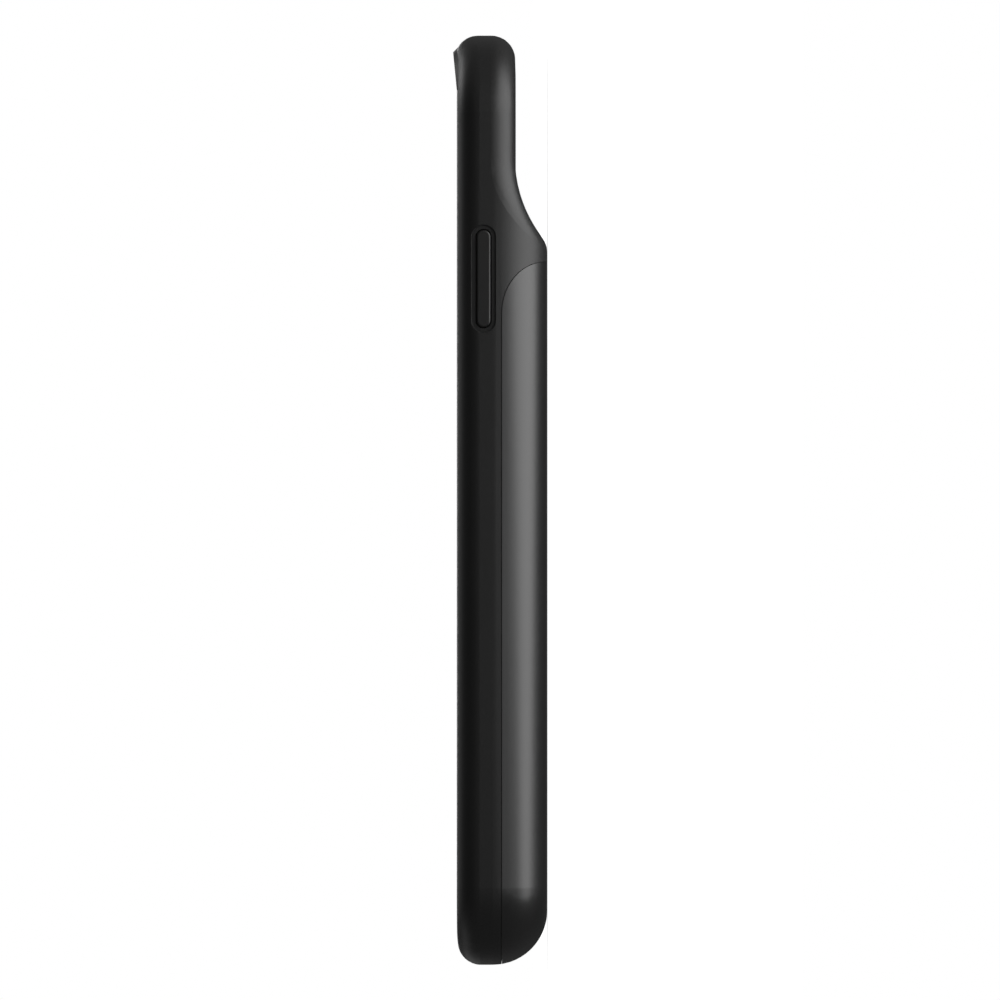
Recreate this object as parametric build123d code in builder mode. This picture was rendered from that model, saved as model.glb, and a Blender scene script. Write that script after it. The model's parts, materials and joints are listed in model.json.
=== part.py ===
from build123d import *
import os
from math import radians, tan

# Battery charging case for a phone, in millimetres. The case lies on its back: z = 0 is the back face,
# +Z points out of the open front, +Y to the top end and +X to the side with the power button.

os.makedirs("parts", exist_ok=True)

# The phone that the case is made for
phone_length = 150.9
phone_width = 75.7
phone_thickness = 8.3
phone_corner_radius = 11.5
phone_clearance = 0.2
phone_depth_play = 0.1

# Walls of the case
side_wall = 2.95
top_wall = 2.15
chin_length = 9.12
lip_thickness = 0.64
lip_overhang = 1.5
lip_edge_radius = 0.3
back_wall = 1.3
tray_thickness = 1.0
camera_zone_wall = 1.1

# Outer form
corner_radius = 14.0
rear_edge_radius = 9.5
front_edge_radius = 4.0
chin_crown_length = 6.95
chin_crown_radius = 40.0
chin_crown_sweep = 30.0
top_ramp_length = 6.85
top_ramp_angle = 8.6
top_ramp_blend_radius = 20.0
top_crown_from_end = 4.75
top_crown_radius = 4.5
top_crown_fall = 35.0
shoulder_from_top = 36.75
shoulder_slope = 35.5
shoulder_blend_radius = 22.0
camera_zone_edge_radius = 4.2

# Raised lip round the upper end of the screen
screen_lip_length = 10.0
screen_lip_slope = 5.8
screen_lip_width = 0.2
screen_lip_flank = 45.0

# Seam between the frame and the rear cover, and the lap joint inside it
seam_below_shoulder = 3.07
seam_corner_length = 9.0
seam_above_floor = 1.24
seam_gap = 0.06
seam_edge_radius = 0.07
cover_side_wall = 1.5
cover_lap_wall = 1.3
lap_clearance = 0.1
tongue_thickness = 1.0
tongue_length = 1.6
compartment_past_seam = 1.6
tray_clearance = 0.1

# Openings in the frame
window_width = 17.0
window_length = 26.0
window_from_side = 17.0
window_from_top = 4.8
window_flare = 10.0
port_width = 13.0
port_height = 6.5
speaker_slot_width = 12.0
speaker_slot_height = 2.8
speaker_slot_spacing = 44.0
mute_window_length = 13.0
mute_window_height = 5.0
mute_window_from_top = 22.5

# Side buttons
button_width = 2.4
button_clearance = 0.12
button_proud = 0.25
button_edge_radius = 0.3
button_above_floor = 4.36
button_flange_lip = 0.8
button_flange_thickness = 0.9
button_flange_play = 0.1
moat_width = 0.84
moat_depth = 0.4
moat_edge_radius = 0.12
slot_edge_radius = 0.1
power_button_length = 16.9
power_button_from_top = 42.88
volume_button_length = 11.5
volume_up_from_top = 36.0
volume_down_from_top = 50.5

# Wireless power coils, stacked between the rear cover and the tray
coil_outer_diameter = 43.0
coil_inner_diameter = 20.0
coil_turn_grooves = 3
coil_groove_width = 0.5
coil_groove_depth = 0.15
transmit_coil_thickness = 1.2
transmit_ferrite_diameter = 48.0
transmit_ferrite_thickness = 0.8
receive_coil_thickness = 0.5
receive_ferrite_size = 46.0
receive_ferrite_radius = 5.0
receive_ferrite_thickness = 0.5
coil_foam_diameter = 40.0
coil_ring_clearance = 0.3
coil_ring_wall = 0.8
coil_ring_gap = 6.0

# Battery cell
cell_width = 66.0
cell_length = 34.5
cell_thickness = 3.9
cell_corner_radius = 2.0
cell_edge_bevel = 0.8
cell_from_coil_ring = 0.5
cell_swelling_gap = 0.35
cell_terrace_length = 2.5
cell_terrace_width = 60.0
cell_terrace_thickness = 0.3
tape_thickness = 0.15
tape_width = 12.0
tape_spacing = 40.0
tab_width = 4.0
tab_thickness = 0.1
tab_spacing = 18.0
protection_board_width = 30.0
protection_board_length = 2.2
protection_board_thickness = 0.6

# Main board and what stands on it
board_width = 58.0
board_length = 13.5
board_thickness = 0.8
board_from_bottom = 4.25
board_corner_radius = 2.0
post_diameter = 3.4
post_height = 1.0
screw_diameter = 1.4
screw_head_diameter = 2.6
screw_head_height = 0.7
screw_length = 2.4
screw_clearance = 0.05
screw_recess_width = 0.4
upper_screw_spacing = 44.0
lower_screw_spacing = 52.0
screw_from_board_edge = 1.9
shield_length = 8.0
shield_width = 10.0
shield_height = 1.3
shield_x = 18.8
shield_edge_bevel = 0.3
chip_size = 4.0
chip_height = 0.9
chip_x = (-22.0, -16.0)
inductor_size = 4.2
inductor_height = 1.5
inductor_bevel = 0.5
inductor_x = (-10.0, 8.4)
capacitor_length = 1.2
capacitor_width = 0.7
capacitor_height = 0.6
capacitor_count = 5
capacitor_pitch = 1.6

# Charging socket
socket_width = 8.94
socket_height = 3.26
socket_depth = 7.35
socket_wall = 0.3
socket_recess = 3.25
socket_under_tray = 0.07
socket_clearance = 0.3
socket_notch_clearance = 0.15
tongue_board_width = 6.7
tongue_board_thickness = 0.7
tongue_board_length = 4.45
socket_base_depth = 2.0

# Charge lights and their button
light_count = 4
light_pitch = 4.5
light_row_x = -2.25
light_row_from_bottom = 15.5
light_pipe_diameter = 1.8
light_pipe_clearance = 0.05
light_pipe_recess = 0.05
light_pipe_flange_diameter = 2.6
light_pipe_flange_height = 0.5
light_gap = 0.2
led_length = 1.6
led_width = 0.8
led_height = 0.5
status_button_x = 11.5
status_button_diameter = 6.0
status_button_clearance = 0.1
status_button_recess = 0.1
status_button_edge_bevel = 0.3
status_flange_diameter = 7.6
status_flange_thickness = 0.6
status_flange_play = 0.1
status_plunger_diameter = 2.0
status_travel = 0.3
status_switch_gap = 0.05
switch_size = 3.0
switch_height = 1.0
switch_stem_diameter = 1.4
switch_stem_height = 0.15

# Flat leads from the coils to the board
flex_width = 2.6
flex_thickness = 0.12
flex_wall_clearance = 0.5
connector_width = 3.2
connector_length = 2.2
transmit_connector_x = 27.2
receive_connector_x = -16.0

# Cutting tools reach this far past the case
outside = 2.0

# Faces are picked by how far their normals lean
upright_limit = 0.01
leaning_limit = 0.5

# Lengths and widths worked out from the above
pocket_length = phone_length + 2 * phone_clearance
pocket_width = phone_width + 2 * phone_clearance
pocket_depth = phone_thickness + phone_depth_play
pocket_radius = phone_corner_radius + phone_clearance
case_length = top_wall + pocket_length + chin_length
case_width = pocket_width + 2 * side_wall
half_length = case_length / 2
half_width = case_width / 2
pocket_center = half_length - top_wall - pocket_length / 2
shoulder_foot = half_length - shoulder_from_top
seam_top = shoulder_foot - seam_below_shoulder
seam_bend = seam_top - seam_corner_length
tongue_inset = cover_lap_wall + lap_clearance
compartment_inset = tongue_inset + tongue_thickness
compartment_top = seam_top + compartment_past_seam

# Heights above the back face
tray_underside = back_wall + cell_thickness + cell_swelling_gap + tape_thickness
pocket_floor = tray_underside + tray_thickness
lip_underside = pocket_floor + pocket_depth
rim_height = lip_underside + lip_thickness
camera_zone_height = pocket_floor - camera_zone_wall
seam_height = pocket_floor + seam_above_floor
tongue_bottom = seam_height - tongue_length
button_height = pocket_floor + button_above_floor
board_top = tray_underside - post_height
board_bottom = board_top - board_thickness
socket_height_center = tray_underside - socket_under_tray - socket_height / 2
cell_top = tray_underside - tape_thickness

# Places along the case
coil_ring_inner = transmit_ferrite_diameter / 2 + coil_ring_clearance
coil_ring_outer = coil_ring_inner + coil_ring_wall
cell_end = pocket_center - coil_ring_outer - cell_from_coil_ring
cell_center = cell_end - cell_length / 2
terrace_center = cell_end - cell_length - cell_terrace_length / 2
board_center = -half_length + board_from_bottom + board_length / 2
board_upper_edge = board_center + board_length / 2
light_row_y = -half_length + light_row_from_bottom
socket_front = -half_length + socket_recess
upper_screw_y = board_upper_edge - screw_from_board_edge
lower_screw_y = board_center - board_length / 2 + screw_from_board_edge
light_places = [
    (light_row_x + (i - (light_count - 1) / 2) * light_pitch, light_row_y) for i in range(light_count)
]
screw_places = [(side * upper_screw_spacing / 2, upper_screw_y) for side in (-1, 1)]
screw_places += [(side * lower_screw_spacing / 2, lower_screw_y) for side in (-1, 1)]


def save(piece, name):
    """Label a finished piece and write its file."""
    piece.label = name
    export_step(piece, f"parts/{name}.step")


def outline_block(inset, bottom, top):
    """The case's outline, drawn in by inset, as a solid between two heights."""
    with BuildPart() as block:
        with BuildSketch(Plane.XY.offset(bottom)):
            RectangleRounded(case_width - 2 * inset, case_length - 2 * inset, corner_radius - inset)
        extrude(amount=top - bottom)
    return block.part


def rounded_back(inset, bottom, top):
    """The same solid with its rear edge rounded, in line with the case's own rear edge."""
    plain = outline_block(inset, bottom, top)
    with BuildPart() as block:
        add(plain)
        fillet(block.faces().sort_by(Axis.Z)[0].edges(), rear_edge_radius - inset)
    return block.part


def patch_outline(patch):
    """The edges round a patch of faces: those that only one of its faces has."""
    all_edges = [edge for face in patch for edge in face.edges()]
    return ShapeList(edge for edge in all_edges if all_edges.count(edge) == 1)


def behind_seam(gap):
    """All that lies behind the seam, with the seam drawn outwards by gap."""
    with BuildPart() as prism:
        with BuildSketch(Plane.YZ):
            with BuildLine():
                bend = EllipticalCenterArc(
                    (seam_bend, 0), seam_corner_length + gap, seam_height + gap, start_angle=90, arc_size=-90
                )
                Polyline(
                    bend @ 1,
                    (seam_top + gap, -outside),
                    (-half_length - outside, -outside),
                    (-half_length - outside, seam_height + gap),
                    bend @ 0,
                )
            make_face()
        extrude(amount=case_width, both=True)
    return prism.part


def side_plane(side, out):
    """A plane across a side wall at button height, facing outwards, out from the middle of the case."""
    return Plane(origin=(side * out, 0, button_height), x_dir=(0, 1, 0), z_dir=(side, 0, 0))


# Outer envelope of the closed case
outer_block = rounded_back(0, 0, rim_height + outside)
chin_start = -half_length + chin_crown_length
ramp_start = half_length - top_ramp_length
ramp_tangent = top_ramp_blend_radius * tan(radians(top_ramp_angle / 2))
crown_start = half_length - top_crown_from_end
shoulder_run = camera_zone_height / tan(radians(shoulder_slope))
foot_drop = outside * tan(radians(shoulder_slope))

with BuildPart() as envelope:
    add(outer_block)
    # The front falls away over the chin, rises along a ramp near the top and rounds over the top end
    with BuildSketch(Plane.YZ):
        with BuildLine():
            chin = CenterArc((chin_start, rim_height - chin_crown_radius), chin_crown_radius, 90, chin_crown_sweep)
            flat = Line(chin @ 0, (ramp_start - ramp_tangent, rim_height))
            bend = JernArc(flat @ 1, flat % 1, top_ramp_blend_radius, top_ramp_angle)
            ramp = PolarLine(
                bend @ 1, crown_start - (bend @ 1).X, direction=bend % 1, length_mode=LengthMode.HORIZONTAL
            )
            crown = JernArc(ramp @ 1, ramp % 1, top_crown_radius, -top_ramp_angle - top_crown_fall)
            fall = PolarLine(crown @ 1, top_crown_from_end + outside, direction=crown % 1)
            above = rim_height + 2 * outside
            Polyline(fall @ 1, ((fall @ 1).X, above), ((chin @ 1).X, above), chin @ 1)
        make_face()
    extrude(amount=case_width, both=True, mode=Mode.SUBTRACT)
    front_faces = envelope.faces().filter_by(lambda face: face.normal_at().Z > leaning_limit)
    fillet(patch_outline(front_faces), front_edge_radius)
    # The back steps in to the thin camera zone over a shoulder
    with BuildSketch(Plane.YZ):
        with BuildLine():
            step = FilletPolyline(
                (half_length + outside, camera_zone_height),
                (shoulder_foot + shoulder_run, camera_zone_height),
                (shoulder_foot - outside, -foot_drop),
                radius=shoulder_blend_radius,
            )
            Polyline(step @ 1, (half_length + outside, -foot_drop), step @ 0)
        make_face()
    extrude(amount=case_width, both=True, mode=Mode.SUBTRACT)
    camera_zone_faces = (
        envelope.faces()
        .filter_by(lambda face: abs(face.normal_at().X) < upright_limit and face.normal_at().Z < -leaning_limit)
        .filter_by_position(Axis.Y, shoulder_foot, half_length)
    )
    fillet(patch_outline(camera_zone_faces), camera_zone_edge_radius)

# Raised lip: a low wedge outside the rounded edge of the screen's opening, with a sloping flank
lip_start = half_length - screen_lip_length
lip_rise = screen_lip_length * tan(radians(screen_lip_slope))
lip_inner = lip_edge_radius - lip_overhang
lip_root = lip_inner + screen_lip_width + (lip_rise + lip_thickness) * tan(radians(screen_lip_flank))

with BuildPart() as screen_lip:
    with BuildSketch(Plane.XY.offset(lip_underside)):
        with Locations((0, pocket_center)):
            RectangleRounded(pocket_width + 2 * lip_root, pocket_length + 2 * lip_root, pocket_radius + lip_root)
    extrude(amount=lip_rise + lip_thickness, taper=screen_lip_flank)
    with BuildSketch(Plane.XY.offset(lip_underside)):
        with Locations((0, pocket_center)):
            RectangleRounded(
                pocket_width + 2 * lip_inner, pocket_length + 2 * lip_inner, pocket_radius + lip_inner
            )
    extrude(amount=lip_rise + lip_thickness, mode=Mode.SUBTRACT)
    with BuildSketch(Plane.YZ):
        with BuildLine():
            Polyline(
                (lip_start, rim_height),
                (half_length, rim_height + lip_rise),
                (half_length, lip_underside),
                (lip_start, lip_underside),
                close=True,
            )
        make_face()
    extrude(amount=case_width, both=True, mode=Mode.INTERSECT)

# Outer frame: rim, walls, camera zone, shoulder and chin in one moulding
frame_cut = behind_seam(seam_gap)
lap_tongue = outline_block(tongue_inset, tongue_bottom, seam_height + seam_gap + tongue_thickness)
inner_space = rounded_back(cover_side_wall, back_wall, rim_height)
compartment_outline = outline_block(compartment_inset, back_wall, pocket_floor)
tray_space = outline_block(compartment_inset, tray_underside, rim_height)

with BuildPart() as lap_ring:
    add(lap_tongue)
    split(bisect_by=Plane.XZ.offset(-compartment_top), keep=Keep.TOP)

with BuildPart() as compartment:
    add(inner_space)
    add(tray_space)
    add(compartment_outline, mode=Mode.INTERSECT)
    split(bisect_by=Plane.XZ.offset(-compartment_top), keep=Keep.TOP)


def side_button_opening(side, center, length):
    """What is cut from the side wall for one button: a moat, a slot and a pocket for the flange."""
    flange_floor = pocket_width / 2 + 2 * button_flange_play + button_flange_thickness
    with BuildPart() as opening:
        with BuildSketch(side_plane(side, half_width - moat_depth)):
            with Locations((center, 0)):
                SlotOverall(length + 2 * moat_width, button_width + 2 * moat_width)
        extrude(amount=moat_depth + outside)
        with BuildSketch(side_plane(side, pocket_width / 2)):
            with Locations((center, 0)):
                SlotOverall(length + 2 * button_clearance, button_width + 2 * button_clearance)
        extrude(amount=side_wall)
        moat_floor = opening.faces().filter_by(lambda face: len(face.inner_wires()) > 0)
        fillet(moat_floor[0].inner_wires()[0].edges(), slot_edge_radius)
        flange_space = button_flange_lip + button_clearance
        with BuildSketch(side_plane(side, pocket_width / 2 - outside)):
            with Locations((center, 0)):
                SlotOverall(length + 2 * flange_space, button_width + 2 * flange_space)
        extrude(amount=flange_floor - pocket_width / 2 + outside)
    return opening.part


power_button_y = half_length - power_button_from_top
volume_up_y = half_length - volume_up_from_top
volume_down_y = half_length - volume_down_from_top
side_button_openings = [
    side_button_opening(1, power_button_y, power_button_length),
    side_button_opening(-1, volume_up_y, volume_button_length),
    side_button_opening(-1, volume_down_y, volume_button_length),
]

with BuildPart() as outer_frame:
    add(envelope.part)
    add(frame_cut, mode=Mode.SUBTRACT)
    add(lap_ring.part)
    add(compartment.part, mode=Mode.SUBTRACT)
    # Pocket that holds the phone, and the smaller opening inside the lip
    with BuildSketch(Plane.XY.offset(pocket_floor)):
        with Locations((0, pocket_center)):
            RectangleRounded(pocket_width, pocket_length, pocket_radius)
    extrude(amount=pocket_depth, mode=Mode.SUBTRACT)
    with BuildSketch(Plane.XY.offset(lip_underside)):
        with Locations((0, pocket_center)):
            RectangleRounded(
                pocket_width - 2 * lip_overhang, pocket_length - 2 * lip_overhang, pocket_radius - lip_overhang
            )
    extrude(amount=rim_height, mode=Mode.SUBTRACT)
    lip_edges = (
        edges(Select.LAST)
        .filter_by(Axis.Z, reverse=True)
        .filter_by_position(Axis.Z, lip_underside + lip_edge_radius, rim_height + outside)
    )
    fillet(lip_edges, lip_edge_radius)
    add(screen_lip.part)
    # Camera window, flared towards the outside
    with BuildSketch(Plane.XY.offset(pocket_floor)):
        with Locations((half_width - window_from_side, half_length - window_from_top - window_length / 2)):
            SlotOverall(window_length, window_width, rotation=90)
    extrude(amount=-pocket_floor - outside, taper=-window_flare, mode=Mode.SUBTRACT)
    # Port opening and speaker slots through the chin
    port_height_center = pocket_floor + phone_thickness / 2
    with BuildSketch(Plane.XZ.offset(half_length + outside)):
        with Locations((0, port_height_center)):
            SlotOverall(port_width, port_height)
        with Locations((0, port_height_center)):
            with GridLocations(speaker_slot_spacing, 0, 2, 1):
                SlotOverall(speaker_slot_width, speaker_slot_height)
    extrude(amount=-chin_length - 2 * outside, mode=Mode.SUBTRACT)
    # Window for the mute switch
    with BuildSketch(side_plane(-1, pocket_width / 2 - outside)):
        with Locations((half_length - mute_window_from_top, 0)):
            SlotOverall(mute_window_length, mute_window_height)
    extrude(amount=side_wall + 2 * outside, mode=Mode.SUBTRACT)
    for side_opening in side_button_openings:
        add(side_opening, mode=Mode.SUBTRACT)
        moat_rim = edges(Select.LAST).filter_by(
            lambda edge: abs(edge.center().X) > half_width - moat_depth + moat_edge_radius
        )
        fillet(moat_rim, moat_edge_radius)
save(outer_frame.part, "outer_frame")

# Rear cover: the dish behind the seam
cover_cut = behind_seam(0)
lap_rebate = outline_block(cover_lap_wall, tongue_bottom - lap_clearance, rim_height)

with BuildPart() as rear_cover:
    add(envelope.part)
    add(cover_cut, mode=Mode.INTERSECT)
    seam_faces = rear_cover.faces().filter_by(
        lambda face: abs(face.normal_at().X) < upright_limit and face.normal_at().Z > upright_limit
    )
    fillet(patch_outline(seam_faces), seam_edge_radius)
    add(inner_space, mode=Mode.SUBTRACT)
    add(tray_space, mode=Mode.SUBTRACT)
    add(lap_rebate, mode=Mode.SUBTRACT)
    # Holes for the charge lights, their button and the charging socket
    with BuildSketch():
        with Locations(*light_places):
            Circle(light_pipe_diameter / 2 + light_pipe_clearance)
        with Locations((status_button_x, light_row_y)):
            Circle(status_button_diameter / 2 + status_button_clearance)
    extrude(amount=back_wall, mode=Mode.SUBTRACT)
    with BuildSketch(Plane.XZ.offset(half_length + outside)):
        with Locations((0, socket_height_center)):
            SlotOverall(socket_width + 2 * socket_clearance, socket_height + 2 * socket_clearance)
    extrude(amount=-rear_edge_radius, mode=Mode.SUBTRACT)
save(rear_cover.part, "rear_cover")

# Inner tray: the floor under the phone, with the coil ring and the board posts on its underside
tray_outline = outline_block(compartment_inset + tray_clearance, tray_underside, pocket_floor)

with BuildPart() as inner_tray:
    add(tray_outline)
    split(bisect_by=Plane.XZ.offset(tray_clearance - compartment_top), keep=Keep.TOP)
    with BuildSketch(Plane.XY.offset(tray_underside)):
        with Locations((0, pocket_center)):
            Circle(coil_ring_outer)
            Circle(coil_ring_inner, mode=Mode.SUBTRACT)
            Rectangle(
                2 * coil_ring_outer, coil_ring_gap, align=(Align.MIN, Align.CENTER), mode=Mode.SUBTRACT
            )
    extrude(amount=-transmit_coil_thickness - transmit_ferrite_thickness)
    with BuildSketch(Plane.XY.offset(tray_underside)):
        with Locations(*screw_places):
            Circle(post_diameter / 2)
    extrude(amount=-post_height)
    with BuildSketch(Plane.XY.offset(board_top)):
        with Locations(*screw_places):
            Circle(screw_diameter / 2 + screw_clearance)
    extrude(amount=screw_length - board_thickness + screw_clearance, mode=Mode.SUBTRACT)
save(inner_tray.part, "inner_tray")


def side_button(side, center, length):
    """A side button: a soft-edged cap on a flange that keeps it in the wall."""
    flange_inner = pocket_width / 2 + button_flange_play
    with BuildPart() as button:
        with BuildSketch(side_plane(side, flange_inner)):
            with Locations((center, 0)):
                SlotOverall(length + 2 * button_flange_lip, button_width + 2 * button_flange_lip)
        extrude(amount=button_flange_thickness)
        with BuildSketch(side_plane(side, flange_inner)):
            with Locations((center, 0)):
                SlotOverall(length, button_width)
        extrude(amount=half_width + button_proud - flange_inner)
        outer_face = button.faces().sort_by(Axis.X)[-1 if side > 0 else 0]
        fillet(outer_face.edges(), button_edge_radius)
    return button.part


save(side_button(1, power_button_y, power_button_length), "power_button")
save(side_button(-1, volume_up_y, volume_button_length), "volume_up_button")
save(side_button(-1, volume_down_y, volume_button_length), "volume_down_button")

# Status button in the rear cover, and the switch behind it
switch_bottom = board_bottom - switch_height - switch_stem_height
plunger_top = switch_bottom - status_switch_gap - status_travel
flange_bottom = back_wall + status_flange_play

with BuildPart() as status_button:
    with Locations((status_button_x, light_row_y, status_button_recess)):
        Cylinder(
            status_button_diameter / 2,
            flange_bottom + status_flange_thickness - status_button_recess,
            align=(Align.CENTER, Align.CENTER, Align.MIN),
        )
    chamfer(status_button.faces().sort_by(Axis.Z)[0].edges(), status_button_edge_bevel)
    with BuildSketch(Plane.XY.offset(flange_bottom)):
        with Locations((status_button_x, light_row_y)):
            Circle(status_flange_diameter / 2)
    extrude(amount=status_flange_thickness)
    with BuildSketch(Plane.XY.offset(flange_bottom)):
        with Locations((status_button_x, light_row_y)):
            Circle(status_plunger_diameter / 2)
    extrude(amount=plunger_top - flange_bottom)
save(status_button.part, "status_button")

with BuildPart() as status_switch:
    with BuildSketch(Plane.XY.offset(board_bottom)):
        with Locations((status_button_x, light_row_y)):
            Rectangle(switch_size, switch_size)
    extrude(amount=-switch_height)
    with BuildSketch(Plane.XY.offset(board_bottom - switch_height)):
        with Locations((status_button_x, light_row_y)):
            Circle(switch_stem_diameter / 2)
    extrude(amount=-switch_stem_height)
save(status_switch.part, "status_switch")

# Charge lights and the light pipes that carry them to the back face
with BuildPart() as status_leds:
    with BuildSketch(Plane.XY.offset(board_bottom)):
        with Locations(*light_places):
            Rectangle(led_length, led_width)
    extrude(amount=-led_height)
save(status_leds.part, "status_leds")

with BuildPart() as led_light_pipes:
    with BuildSketch(Plane.XY.offset(light_pipe_recess)):
        with Locations(*light_places):
            Circle(light_pipe_diameter / 2)
    extrude(amount=board_bottom - led_height - light_gap - light_pipe_recess)
    with BuildSketch(Plane.XY.offset(back_wall)):
        with Locations(*light_places):
            Circle(light_pipe_flange_diameter / 2)
    extrude(amount=light_pipe_flange_height)
save(led_light_pipes.part, "led_light_pipes")

# Main board, notched for the charging socket
with BuildPart() as main_board:
    with BuildSketch(Plane.XY.offset(board_bottom)):
        with Locations((0, board_center)):
            RectangleRounded(board_width, board_length, board_corner_radius)
        with Locations((0, socket_front + socket_depth + socket_notch_clearance)):
            Rectangle(
                socket_width + 2 * socket_notch_clearance,
                socket_depth + outside,
                align=(Align.CENTER, Align.MAX),
                mode=Mode.SUBTRACT,
            )
        with Locations(*screw_places):
            Circle(screw_diameter / 2 + screw_clearance, mode=Mode.SUBTRACT)
    extrude(amount=board_thickness)
save(main_board.part, "main_board")

with BuildPart() as shield_can:
    with BuildSketch(Plane.XY.offset(board_bottom)):
        with Locations((shield_x, board_center - screw_from_board_edge / 2)):
            Rectangle(shield_width, shield_length)
    extrude(amount=-shield_height)
    chamfer(shield_can.edges().filter_by(Axis.Z), shield_edge_bevel)
    chamfer(shield_can.faces().sort_by(Axis.Z)[0].edges(), shield_edge_bevel)
save(shield_can.part, "shield_can")

with BuildPart() as control_chips:
    with BuildSketch(Plane.XY.offset(board_bottom)):
        with Locations(*[(x, board_center) for x in chip_x]):
            Rectangle(chip_size, chip_size)
    extrude(amount=-chip_height)
save(control_chips.part, "control_chips")

with BuildPart() as power_inductors:
    with BuildSketch(Plane.XY.offset(board_bottom)):
        with Locations(*[(x, board_center - screw_from_board_edge) for x in inductor_x]):
            Rectangle(inductor_size, inductor_size)
    extrude(amount=-inductor_height)
    chamfer(power_inductors.edges().filter_by(Axis.Z), inductor_bevel)
save(power_inductors.part, "power_inductors")

with BuildPart() as capacitors:
    with BuildSketch(Plane.XY.offset(board_bottom)):
        with Locations((sum(chip_x) / len(chip_x), board_center - chip_size)):
            with GridLocations(capacitor_pitch, 0, capacitor_count, 1):
                Rectangle(capacitor_width, capacitor_length)
    extrude(amount=-capacitor_height)
save(capacitors.part, "capacitors")

with BuildPart() as board_screws:
    with BuildSketch(Plane.XY.offset(board_bottom)):
        with Locations(*screw_places):
            Circle(screw_head_diameter / 2)
    extrude(amount=-screw_head_height)
    with BuildSketch(Plane.XY.offset(board_bottom)):
        with Locations(*screw_places):
            Circle(screw_diameter / 2)
    extrude(amount=screw_length)
    with BuildSketch(Plane.XY.offset(board_bottom - screw_head_height)):
        with Locations(*screw_places):
            for turn in (0, 90):
                Rectangle(screw_diameter, screw_recess_width, rotation=turn)
    extrude(amount=screw_head_height / 2, mode=Mode.SUBTRACT)
save(board_screws.part, "board_screws")

# Charging socket: a steel shell round a plastic base and tongue
with BuildPart() as usb_c_shell:
    with BuildSketch(Plane.XZ.offset(-socket_front)):
        with Locations((0, socket_height_center)):
            SlotOverall(socket_width, socket_height)
            SlotOverall(socket_width - 2 * socket_wall, socket_height - 2 * socket_wall, mode=Mode.SUBTRACT)
    extrude(amount=-socket_depth)
save(usb_c_shell.part, "usb_c_shell")

with BuildPart() as usb_c_tongue:
    with BuildSketch(Plane.XZ.offset(-socket_front - socket_depth)):
        with Locations((0, socket_height_center)):
            SlotOverall(socket_width - 2 * socket_wall, socket_height - 2 * socket_wall)
    extrude(amount=socket_base_depth)
    with BuildSketch(Plane.XZ.offset(-socket_front - socket_depth + socket_base_depth)):
        with Locations((0, socket_height_center)):
            Rectangle(tongue_board_width, tongue_board_thickness)
    extrude(amount=tongue_board_length)
save(usb_c_tongue.part, "usb_c_tongue")

# Battery cell: a foil pouch with a sealed terrace, held to the tray by tape
with BuildPart() as battery_cell:
    with BuildSketch(Plane.XY.offset(cell_top)):
        with Locations((0, cell_center)):
            RectangleRounded(cell_width, cell_length, cell_corner_radius)
    extrude(amount=-cell_thickness)
    chamfer(battery_cell.faces().sort_by(Axis.Z)[0].edges(), cell_edge_bevel)
    chamfer(battery_cell.faces().sort_by(Axis.Z)[-1].edges(), cell_edge_bevel)
    with BuildSketch(Plane.XY.offset(cell_top - cell_thickness / 2)):
        with Locations((0, cell_center - cell_length / 2 + cell_edge_bevel)):
            Rectangle(
                cell_terrace_width, cell_terrace_length + cell_edge_bevel, align=(Align.CENTER, Align.MAX)
            )
    extrude(amount=cell_terrace_thickness)
save(battery_cell.part, "battery_cell")

with BuildPart() as cell_tape:
    with BuildSketch(Plane.XY.offset(cell_top)):
        with Locations((0, cell_center)):
            with GridLocations(tape_spacing, 0, 2, 1):
                Rectangle(tape_width, cell_length - 2 * cell_corner_radius)
    extrude(amount=tape_thickness)
save(cell_tape.part, "cell_tape")

tab_bottom = cell_top - cell_thickness / 2 + cell_terrace_thickness

with BuildPart() as cell_tabs:
    with BuildSketch(Plane.XY.offset(tab_bottom)):
        with Locations((0, terrace_center)):
            with GridLocations(tab_spacing, 0, 2, 1):
                Rectangle(tab_width, protection_board_length)
    extrude(amount=tab_thickness)
save(cell_tabs.part, "cell_tabs")

with BuildPart() as protection_board:
    with BuildSketch(Plane.XY.offset(tab_bottom + tab_thickness)):
        with Locations((0, terrace_center)):
            Rectangle(protection_board_width, protection_board_length)
    extrude(amount=protection_board_thickness)
save(protection_board.part, "protection_board")


def flat_coil(bottom, thickness):
    """A wound flat coil: a ring with grooves between its turns."""
    turn_width = (coil_outer_diameter - coil_inner_diameter) / 2 / (coil_turn_grooves + 1)
    with BuildPart() as coil:
        with BuildSketch(Plane.XY.offset(bottom)):
            with Locations((0, pocket_center)):
                Circle(coil_outer_diameter / 2)
                Circle(coil_inner_diameter / 2, mode=Mode.SUBTRACT)
        extrude(amount=thickness)
        with BuildSketch(Plane.XY.offset(bottom)):
            with Locations((0, pocket_center)):
                for turn in range(1, coil_turn_grooves + 1):
                    middle = coil_inner_diameter / 2 + turn * turn_width
                    Circle(middle + coil_groove_width / 2)
                    Circle(middle - coil_groove_width / 2, mode=Mode.SUBTRACT)
        extrude(amount=coil_groove_depth, mode=Mode.SUBTRACT)
    return coil.part


# Coil stack: receiving side on the rear cover, foam, sending side on the tray
receive_ferrite_bottom = back_wall + receive_coil_thickness
foam_bottom = receive_ferrite_bottom + receive_ferrite_thickness
transmit_coil_bottom = tray_underside - transmit_coil_thickness
transmit_ferrite_bottom = transmit_coil_bottom - transmit_ferrite_thickness

save(flat_coil(back_wall, receive_coil_thickness), "receive_coil")
save(flat_coil(transmit_coil_bottom, transmit_coil_thickness), "transmit_coil")

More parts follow.
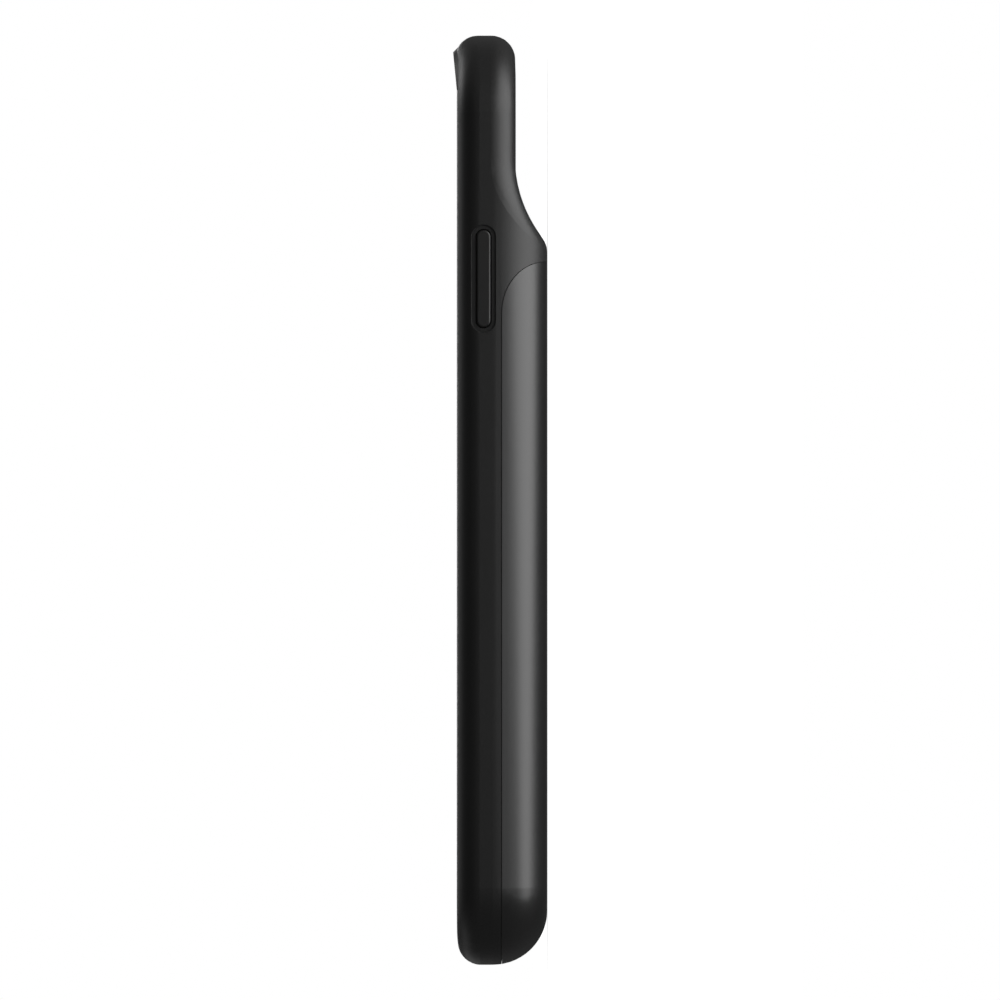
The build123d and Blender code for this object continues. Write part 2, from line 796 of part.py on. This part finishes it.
with BuildPart() as receive_ferrite:
    with BuildSketch(Plane.XY.offset(receive_ferrite_bottom)):
        with Locations((0, pocket_center)):
            RectangleRounded(receive_ferrite_size, receive_ferrite_size, receive_ferrite_radius)
    extrude(amount=receive_ferrite_thickness)
save(receive_ferrite.part, "receive_ferrite")

with BuildPart() as transmit_ferrite:
    with BuildSketch(Plane.XY.offset(transmit_ferrite_bottom)):
        with Locations((0, pocket_center)):
            Circle(transmit_ferrite_diameter / 2)
    extrude(amount=transmit_ferrite_thickness)
save(transmit_ferrite.part, "transmit_ferrite")

with BuildPart() as coil_foam:
    with BuildSketch(Plane.XY.offset(foam_bottom)):
        with Locations((0, pocket_center)):
            Circle(coil_foam_diameter / 2)
    extrude(amount=transmit_ferrite_bottom - foam_bottom)
save(coil_foam.part, "coil_foam")

# Flat leads: one along the wall from the sending coil, one under the cell from the receiving coil
connector_y = board_upper_edge - connector_length / 2
transmit_flex_bottom = tray_underside - flex_thickness
channel_x = half_width - compartment_inset - flex_wall_clearance - flex_width / 2
coil_edge = coil_outer_diameter / 2

with BuildPart() as transmit_flex:
    with BuildSketch(Plane.XY.offset(transmit_flex_bottom)):
        with BuildLine():
            lead = Polyline(
                (coil_edge + flex_width / 2, pocket_center),
                (channel_x, pocket_center),
                (channel_x, connector_y),
                (transmit_connector_x, connector_y),
            )
            offset(lead, flex_width / 2, kind=Kind.INTERSECTION, side=Side.BOTH)
        make_face()
    extrude(amount=flex_thickness)
save(transmit_flex.part, "transmit_flex")

with BuildPart() as receive_flex:
    with BuildSketch(Plane.XY.offset(back_wall)):
        with Locations((receive_connector_x, connector_y - flex_width / 2)):
            Rectangle(
                flex_width,
                pocket_center - connector_y,
                align=(Align.CENTER, Align.MIN),
            )
        with Locations((0, pocket_center)):
            Circle(coil_edge, mode=Mode.SUBTRACT)
    extrude(amount=flex_thickness)
save(receive_flex.part, "receive_flex")

with BuildPart() as flex_connectors:
    with BuildSketch(Plane.XY.offset(board_top)):
        with Locations((transmit_connector_x, connector_y)):
            Rectangle(connector_width, connector_length)
    extrude(amount=transmit_flex_bottom - board_top)
    with BuildSketch(Plane.XY.offset(back_wall + flex_thickness)):
        with Locations((receive_connector_x, connector_y)):
            Rectangle(connector_width, connector_length)
    extrude(amount=board_bottom - back_wall - flex_thickness)
save(flex_connectors.part, "flex_connectors")
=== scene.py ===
"""Looks of the battery charging case.

It lies on its back, and the camera sees its long side with the power button.
"""

import json
from math import pi, radians

import bpy
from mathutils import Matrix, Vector

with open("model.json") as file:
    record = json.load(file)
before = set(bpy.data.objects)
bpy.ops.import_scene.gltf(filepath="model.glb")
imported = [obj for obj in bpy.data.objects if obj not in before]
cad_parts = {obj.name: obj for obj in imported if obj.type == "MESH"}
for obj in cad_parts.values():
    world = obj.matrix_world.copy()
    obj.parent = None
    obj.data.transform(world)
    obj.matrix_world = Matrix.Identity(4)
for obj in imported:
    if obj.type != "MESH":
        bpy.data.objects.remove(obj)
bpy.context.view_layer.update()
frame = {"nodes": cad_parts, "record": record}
nodes = frame["nodes"]
scene = bpy.context.scene
scene.view_settings.view_transform = "Standard"

MM = 0.001

# Places that patterns are centred on, in millimetres
COIL_CENTER = (0, 3.485, 0)
CAPACITOR_ROW = (0, -74.285, 0)

# Colour of the plastics on the outside
MATT_BLACK = (0.0026, 0.0026, 0.0026)

# Camera and floor, in metres and degrees
CAMERA_PLACE = (1.4853, 0.000035, 0.003235)
CAMERA_TURN = 90.1975
LAMPS_FACE = Vector((0.03, 0, 0.008))
FLOOR_SIZE = 8
FLOOR_DROP = 0.05 * MM

# Brightness of the surroundings, where 1 is white. The room is what the gloss shows.
PLAIN_LIGHT = 0.8
ROOM = 0.04
ROOM_PAST_TOP = 0.26
ROOM_PAST_BOTTOM = 0.13


def new_finish(name, color, roughness, metallic=0.0, specular=0.5):
    """A material with one shader, its constants set on the shader itself."""
    finish = bpy.data.materials.new(name)
    finish.use_nodes = True
    shader = finish.node_tree.nodes["Principled BSDF"]
    shader.inputs["Base Color"].default_value = (*color, 1)
    shader.inputs["Roughness"].default_value = roughness
    shader.inputs["Metallic"].default_value = metallic
    shader.inputs["Specular IOR Level"].default_value = specular
    return finish


def shader_of(finish):
    return finish.node_tree.nodes["Principled BSDF"]


def add_node(finish, kind, **values):
    """A node of that kind, with the named inputs set."""
    node = finish.node_tree.nodes.new(kind)
    for name, value in values.items():
        node.inputs[name.replace("_", " ")].default_value = value
    return node


def join(finish, out_socket, in_socket):
    finish.node_tree.links.new(out_socket, in_socket)


def place(finish, center=(0, 0, 0), stretch=(1, 1, 1)):
    """Object coordinates, moved so that center is their origin and stretched along the axes."""
    coords = add_node(finish, "ShaderNodeTexCoord")
    mapping = add_node(finish, "ShaderNodeMapping")
    mapping.vector_type = "TEXTURE"
    mapping.inputs["Location"].default_value = [value * MM for value in center]
    mapping.inputs["Scale"].default_value = stretch
    join(finish, coords.outputs["Object"], mapping.inputs["Vector"])
    return mapping.outputs["Vector"]


def cloud(finish, size, detail=2.0, **where):
    """Cloudy variation from 0 to 1 with spots of about that size in millimetres."""
    noise = add_node(finish, "ShaderNodeTexNoise", Scale=1 / (size * MM), Detail=detail)
    join(finish, place(finish, **where), noise.inputs["Vector"])
    return noise.outputs["Fac"]


def cells(finish, size, feature="F1", randomness=1.0, **where):
    """Distances in a field of cells of about that size in millimetres."""
    voronoi = add_node(finish, "ShaderNodeTexVoronoi", Scale=1 / (size * MM), Randomness=randomness)
    voronoi.feature = feature
    join(finish, place(finish, **where), voronoi.inputs["Vector"])
    return voronoi.outputs["Distance"]


def lines(finish, pitch, rings=False, direction="X", **where):
    """Soft lines or rings at that pitch in millimetres, 0 at the origin."""
    wave = add_node(finish, "ShaderNodeTexWave", Scale=pi / 10 / (pitch * MM))
    wave.wave_type = "RINGS" if rings else "BANDS"
    if rings:
        wave.rings_direction = "Z"
    else:
        wave.bands_direction = direction
    join(finish, place(finish, **where), wave.inputs["Vector"])
    return wave.outputs["Fac"]


def from_middle(finish, axis, center):
    """Distance in millimetres from a middle plane across one axis."""
    split = add_node(finish, "ShaderNodeSeparateXYZ")
    join(finish, place(finish, center=center, stretch=(MM, MM, MM)), split.inputs["Vector"])
    distance = add_node(finish, "ShaderNodeMath")
    distance.operation = "ABSOLUTE"
    join(finish, split.outputs[axis], distance.inputs[0])
    return distance.outputs["Value"]


def ramp(finish, value, stops):
    """Colours along a value, as pairs of position and colour."""
    node = add_node(finish, "ShaderNodeValToRGB")
    points = node.color_ramp.elements
    while len(points) < len(stops):
        points.new(0.5)
    for point, (position, color) in zip(points, stops):
        point.position = position
        point.color = (*color, 1)
    join(finish, value, node.inputs["Fac"])
    return node.outputs["Color"]


def between(finish, value, low, high, start=0.0, end=1.0):
    """A value from start to end, carried over to lie between low and high."""
    node = add_node(finish, "ShaderNodeMapRange", From_Min=start, From_Max=end, To_Min=low, To_Max=high)
    join(finish, value, node.inputs["Value"])
    return node.outputs["Result"]


def color_by(finish, value, *stops):
    join(finish, ramp(finish, value, stops), shader_of(finish).inputs["Base Color"])


def color_over(finish, mask, color):
    """One colour laid over the surface's own, where the mask is 1."""
    own = shader_of(finish).inputs["Base Color"]
    layer = add_node(finish, "ShaderNodeMix")
    layer.data_type = "RGBA"
    factor, under, over = layer.inputs[0], layer.inputs[6], layer.inputs[7]
    over.default_value = (*color, 1)
    join(finish, own.links[0].from_socket, under)
    join(finish, mask, factor)
    join(finish, layer.outputs[2], own)


def roughen(finish, value, low, high):
    join(finish, between(finish, value, low, high), shader_of(finish).inputs["Roughness"])


def emboss(finish, value, depth):
    """Bump of that depth in millimetres, over any bump that is already there."""
    bump = add_node(finish, "ShaderNodeBump", Distance=depth * MM)
    join(finish, value, bump.inputs["Height"])
    normal = shader_of(finish).inputs["Normal"]
    if normal.is_linked:
        join(finish, normal.links[0].from_socket, bump.inputs["Normal"])
    join(finish, bump.outputs["Normal"], normal)


def shades(color, low, high):
    """Two stops for color_by: a darker and a lighter shade of one colour."""
    return (0.3, [channel * low for channel in color]), (0.7, [channel * high for channel in color])


def moulded_plastic(name, color, roughness, specular, grain_size, grain_depth):
    """Moulded plastic with a fine spark-eroded grain."""
    finish = new_finish(name, color, roughness, specular=specular)
    grain = cloud(finish, grain_size, detail=3.0)
    color_by(finish, cloud(finish, 18.0), *shades(color, 0.9, 1.1))
    roughen(finish, grain, roughness - 0.05, roughness + 0.05)
    emboss(finish, grain, grain_depth)
    return finish


def metal(name, color, roughness, streak_axis):
    """Rolled or brushed metal with fine streaks along one axis."""
    finish = new_finish(name, color, roughness, metallic=1.0)
    streaks = cloud(finish, 0.12, detail=4.0, stretch=[12 if axis == streak_axis else 1 for axis in "XYZ"])
    color_by(finish, cloud(finish, 3.0), *shades(color, 0.85, 1.0))
    roughen(finish, streaks, roughness - 0.08, roughness + 0.1)
    emboss(finish, streaks, 0.004)
    return finish


def textured_tray():
    """Tray plastic with the pebbled texture that keeps a phone's back from sticking."""
    finish = moulded_plastic("tray_plastic", (0.022, 0.022, 0.022), 0.55, 0.4, 0.12, 0.004)
    emboss(finish, cells(finish, 0.7, feature="SMOOTH_F1"), 0.05)
    return finish


def milky_pipe():
    """Clear plastic with a milky cast, which light passes through."""
    color = (0.80, 0.82, 0.84)
    finish = new_finish("light_pipe", color, 0.22)
    shader_of(finish).inputs["Transmission Weight"].default_value = 0.45
    haze = cloud(finish, 0.5)
    color_by(finish, haze, *shades(color, 0.9, 1.0))
    roughen(finish, haze, 0.18, 0.28)
    return finish


def charge_light():
    """White lamp bodies with a pale yellow lens in the middle of each."""
    finish = moulded_plastic("lamp", (0.80, 0.80, 0.78), 0.35, 0.5, 0.1, 0.002)
    lens = between(finish, lines(finish, 4.5), 1, 0, start=0.04, end=0.07)
    color_over(finish, lens, (0.85, 0.72, 0.28))
    return finish


def circuit_board():
    """Green solder resist over copper tracks, with tinned via rings."""
    finish = new_finish("circuit_board", (0.01, 0.06, 0.03), 0.3)
    color_by(finish, cloud(finish, 6.0), *shades((0.010, 0.060, 0.030), 0.8, 1.1))
    patches = add_node(finish, "ShaderNodeTexVoronoi", Scale=1 / (4.5 * MM))
    patches.distance = "CHEBYCHEV"
    join(finish, place(finish), patches.inputs["Vector"])
    split = add_node(finish, "ShaderNodeSeparateColor")
    join(finish, patches.outputs["Color"], split.inputs["Color"])
    turn = add_node(finish, "ShaderNodeMix")
    join(finish, between(finish, split.outputs["Red"], 0, 1, start=0.5, end=0.51), turn.inputs[0])
    join(finish, lines(finish, 0.6, direction="X"), turn.inputs[2])
    join(finish, lines(finish, 0.6, direction="Y"), turn.inputs[3])
    tracks = between(finish, turn.outputs[0], 0, 1, start=0.5, end=0.6)
    color_over(finish, tracks, (0.03, 0.13, 0.06))
    vias = between(finish, cells(finish, 2.1, randomness=0.7), 1, 0, start=0.09, end=0.11)
    color_over(finish, vias, (0.62, 0.58, 0.45))
    emboss(finish, tracks, 0.02)
    roughen(finish, vias, 0.28, 0.4)
    return finish


def ceramic_capacitor():
    """Tan ceramic between tinned ends."""
    finish = new_finish("capacitor_body", (0.30, 0.22, 0.14), 0.4)
    grain = cloud(finish, 0.15)
    color_by(finish, grain, *shades((0.30, 0.22, 0.14), 0.85, 1.1))
    tinned = between(finish, from_middle(finish, "Y", CAPACITOR_ROW), 0, 1, start=0.32, end=0.36)
    color_over(finish, tinned, (0.65, 0.65, 0.66))
    join(finish, tinned, shader_of(finish).inputs["Metallic"])
    roughen(finish, grain, 0.3, 0.45)
    emboss(finish, grain, 0.006)
    return finish


def pressed_powder():
    """Dark grey inductor body, pressed from iron powder."""
    color = (0.09, 0.09, 0.10)
    finish = new_finish("inductor_body", color, 0.6)
    grains = cells(finish, 0.12)
    color_by(finish, grains, *shades(color, 0.7, 1.4))
    roughen(finish, grains, 0.5, 0.7)
    emboss(finish, grains, 0.015)
    return finish


def pouch_foil():
    """Satin aluminium laminate, lightly wrinkled, with a fine pressed pattern."""
    color = (0.66, 0.67, 0.68)
    finish = metal("cell_foil", color, 0.42, "X")
    emboss(finish, cloud(finish, 5.0, detail=3.0), 0.12)
    emboss(finish, cells(finish, 0.5, feature="DISTANCE_TO_EDGE"), 0.02)
    return finish


def film_tape():
    """Off-white film tape with a web of fibres."""
    color = (0.80, 0.78, 0.70)
    finish = new_finish("tape", color, 0.5)
    web = cloud(finish, 0.25, detail=4.0, stretch=(1, 6, 1))
    color_by(finish, web, *shades(color, 0.85, 1.0))
    roughen(finish, web, 0.42, 0.58)
    emboss(finish, web, 0.02)
    return finish


def wound_copper():
    """Lacquered copper strands, wound in rings."""
    color = (0.72, 0.36, 0.17)
    finish = new_finish("copper", color, 0.32, metallic=1.0)
    shader_of(finish).inputs["Coat Weight"].default_value = 0.3
    turns_and_groove_shade = lines(finish, 0.48, rings=True, center=COIL_CENTER)
    # Painted shade: the colour darkens in the grooves between the turns, where the bump sinks.
    color_by(finish, turns_and_groove_shade, (0.1, (0.20, 0.07, 0.03)), (0.5, color))
    roughen(finish, cloud(finish, 0.8), 0.25, 0.4)
    emboss(finish, turns_and_groove_shade, 0.12)
    return finish


def cracked_ferrite():
    """Dark sintered sheet, cracked into small plates under its film."""
    color = (0.055, 0.055, 0.060)
    finish = new_finish("ferrite", color, 0.5)
    plates = cells(finish, 3.0, feature="DISTANCE_TO_EDGE")
    color_by(finish, plates, (0.0, (0.02, 0.02, 0.02)), (0.03, color))
    roughen(finish, cloud(finish, 0.3), 0.4, 0.6)
    emboss(finish, between(finish, plates, 0, 1, end=0.04), 0.02)
    return finish


def closed_foam():
    """Closed-cell foam, its skin pitted by the cells."""
    color = (0.05, 0.05, 0.05)
    finish = new_finish("foam", color, 0.85)
    pits_and_pit_shade = cells(finish, 0.45)
    # Painted shade and painted light: the colour darkens in the pits and lightens on the rims between them.
    color_by(finish, pits_and_pit_shade, *shades(color, 0.6, 1.3))
    roughen(finish, pits_and_pit_shade, 0.75, 0.95)
    emboss(finish, pits_and_pit_shade, 0.12)
    return finish


def amber_flex():
    """Amber film over copper tracks that run along the lead."""
    color = (0.45, 0.20, 0.03)
    finish = new_finish("flex_film", color, 0.28)
    tracks = lines(finish, 0.65)
    color_by(finish, tracks, (0.35, color), (0.55, (0.60, 0.33, 0.08)))
    roughen(finish, cloud(finish, 1.5), 0.22, 0.34)
    emboss(finish, tracks, 0.01)
    return finish


def slotted_connector():
    """Cream connector body with a slot for each contact."""
    finish = moulded_plastic("connector_body", (0.72, 0.70, 0.62), 0.45, 0.5, 0.12, 0.004)
    slots_and_slot_shade = between(finish, lines(finish, 0.5), 1, 0, start=0.12, end=0.2)
    # Painted shade: the slots are coloured dark, standing in for the shade inside them.
    color_over(finish, slots_and_slot_shade, (0.20, 0.17, 0.10))
    emboss(finish, between(finish, slots_and_slot_shade, 1, 0), 0.04)
    return finish


finishes = {
    "frame_plastic": moulded_plastic("frame_plastic", MATT_BLACK, 0.46, 0.38, 0.22, 0.006),
    "cover_plastic": moulded_plastic("cover_plastic", MATT_BLACK, 0.34, 0.5, 0.16, 0.003),
    "button_plastic": moulded_plastic("button_plastic", MATT_BLACK, 0.42, 0.38, 0.16, 0.003),
    "tray_plastic": textured_tray(),
    "chip_body": moulded_plastic("chip_body", (0.020, 0.020, 0.022), 0.5, 0.5, 0.08, 0.006),
    "switch_body": moulded_plastic("switch_body", (0.040, 0.040, 0.045), 0.45, 0.5, 0.12, 0.006),
    "connector_body": slotted_connector(),
    "light_pipe": milky_pipe(),
    "lamp": charge_light(),
    "circuit_board": circuit_board(),
    "capacitor_body": ceramic_capacitor(),
    "inductor_body": pressed_powder(),
    "tape": film_tape(),
    "ferrite": cracked_ferrite(),
    "foam": closed_foam(),
    "flex_film": amber_flex(),
    "tinned_steel": metal("tinned_steel", (0.62, 0.62, 0.63), 0.3, "Y"),
    "screw_steel": metal("screw_steel", (0.50, 0.50, 0.52), 0.35, "Z"),
    "cell_foil": pouch_foil(),
    "nickel": metal("nickel", (0.60, 0.57, 0.52), 0.3, "Y"),
    "copper": wound_copper(),
}

for subpart in frame["record"]["subparts"]:
    mesh = nodes[subpart["node"]].data
    mesh.materials.clear()
    mesh.materials.append(finishes[subpart["material_slot"]])

# Camera, nearly level with the long side and far off, as the photograph is taken
camera_data = bpy.data.cameras.new("camera")
camera_data.lens = 300
camera_data.sensor_width = 36
camera_data.clip_end = 50
camera = bpy.data.objects.new("camera", camera_data)
camera.location = CAMERA_PLACE
camera.rotation_euler = (0, radians(CAMERA_TURN), 0)
scene.collection.objects.link(camera)
scene.camera = camera


def softbox(name, location, along, across, radiance):
    """An area lamp that faces the case, sized along the case and across it, and as bright as a sheet of paper
    that sends out that much light from each point."""
    data = bpy.data.lights.new(name, "AREA")
    data.shape = "RECTANGLE"
    data.size = along
    data.size_y = across
    data.energy = radiance * pi * along * across
    lamp = bpy.data.objects.new(name, data)
    lamp.location = location
    lamp.rotation_euler = (Vector(location) - LAMPS_FACE).to_track_quat("Z", "Y").to_euler()
    lamp.visible_camera = False
    scene.collection.objects.link(lamp)


# Lamps: place, length along the case, width across it and brightness
softbox("back_softbox", (0.21, 0.213, -0.562), 0.7, 0.77, 4.85)
softbox("back_fill", (0.624, 0.12, -0.318), 0.5, 0.54, 1.2)
softbox("rim_strip", (-0.75, 0.08, 0.27), 0.35, 0.3, 2.85)
softbox("front_softbox", (-0.4, 0.0, 0.69), 0.5, 0.5, 0.38)
softbox("top_glow", (-0.405, 0.378, 0.71), 0.34, 0.34, 4.2)
softbox("bottom_glow", (-0.24, -0.58, 0.58), 0.4, 0.4, 0.5)
softbox("far_fill", (-0.62, -0.5, 0.2), 0.3, 0.3, 0.5)

# Floor: a sheet of paper just under the case, which glows a little so that it is white away from the shadow.
# It is seen only from above, so that the back of the case can be looked at too.
bpy.ops.object.select_all(action="DESELECT")
bpy.ops.mesh.primitive_plane_add(size=FLOOR_SIZE, location=(0, 0, -FLOOR_DROP))
floor = bpy.context.object
floor.name = "floor"
floor.visible_shadow = False
floor.visible_diffuse = False
floor.visible_glossy = False
floor.visible_transmission = False
paper = bpy.data.materials.new("paper")
paper.use_nodes = True
paper_nodes = paper.node_tree.nodes
paper_nodes.remove(paper_nodes["Principled BSDF"])
glow = add_node(paper, "ShaderNodeEmission", Color=(1, 1, 1, 1), Strength=0.68)
matt = add_node(paper, "ShaderNodeBsdfDiffuse", Color=(0.45, 0.45, 0.45, 1))
lit = add_node(paper, "ShaderNodeAddShader")
join(paper, glow.outputs["Emission"], lit.inputs[0])
join(paper, matt.outputs["BSDF"], lit.inputs[1])
side = add_node(paper, "ShaderNodeNewGeometry")
clear = add_node(paper, "ShaderNodeBsdfTransparent")
sheet = add_node(paper, "ShaderNodeMixShader")
join(paper, side.outputs["Backfacing"], sheet.inputs["Fac"])
join(paper, lit.outputs["Shader"], sheet.inputs[1])
join(paper, clear.outputs["BSDF"], sheet.inputs[2])
join(paper, sheet.outputs["Shader"], paper_nodes["Material Output"].inputs["Surface"])
floor.data.materials.append(paper)


def larger(first, second):
    """The larger of two values in the surroundings."""
    node = add_node(world, "ShaderNodeMath")
    node.operation = "MAXIMUM"
    join(world, first, node.inputs[0])
    join(world, second, node.inputs[1])
    return node.outputs["Value"]


# Surroundings: white behind the case, plain light on its own colours, and a darker room in its gloss that is
# lighter past its two ends
world = bpy.data.worlds.new("surroundings")
world.use_nodes = True
scene.world = world
sky = world.node_tree.nodes["Background"]
path = add_node(world, "ShaderNodeLightPath")
heading = add_node(world, "ShaderNodeTexCoord")
split = add_node(world, "ShaderNodeSeparateXYZ")
join(world, heading.outputs["Generated"], split.inputs["Vector"])
past_top = between(world, split.outputs["Y"], ROOM, ROOM_PAST_TOP, start=0.25, end=0.7)
past_bottom = between(world, split.outputs["Y"], ROOM, ROOM_PAST_BOTTOM, start=-0.25, end=-0.7)
room = add_node(world, "ShaderNodeMix")
in_gloss, elsewhere, shown = room.inputs[0], room.inputs[2], room.inputs[3]
join(world, path.outputs["Is Glossy Ray"], in_gloss)
elsewhere.default_value = PLAIN_LIGHT
join(world, larger(past_top, past_bottom), shown)
seen = larger(path.outputs["Is Camera Ray"], path.outputs["Is Transmission Ray"])
sky.inputs["Color"].default_value = (1, 1, 1, 1)
join(world, larger(seen, room.outputs[0]), sky.inputs["Strength"])
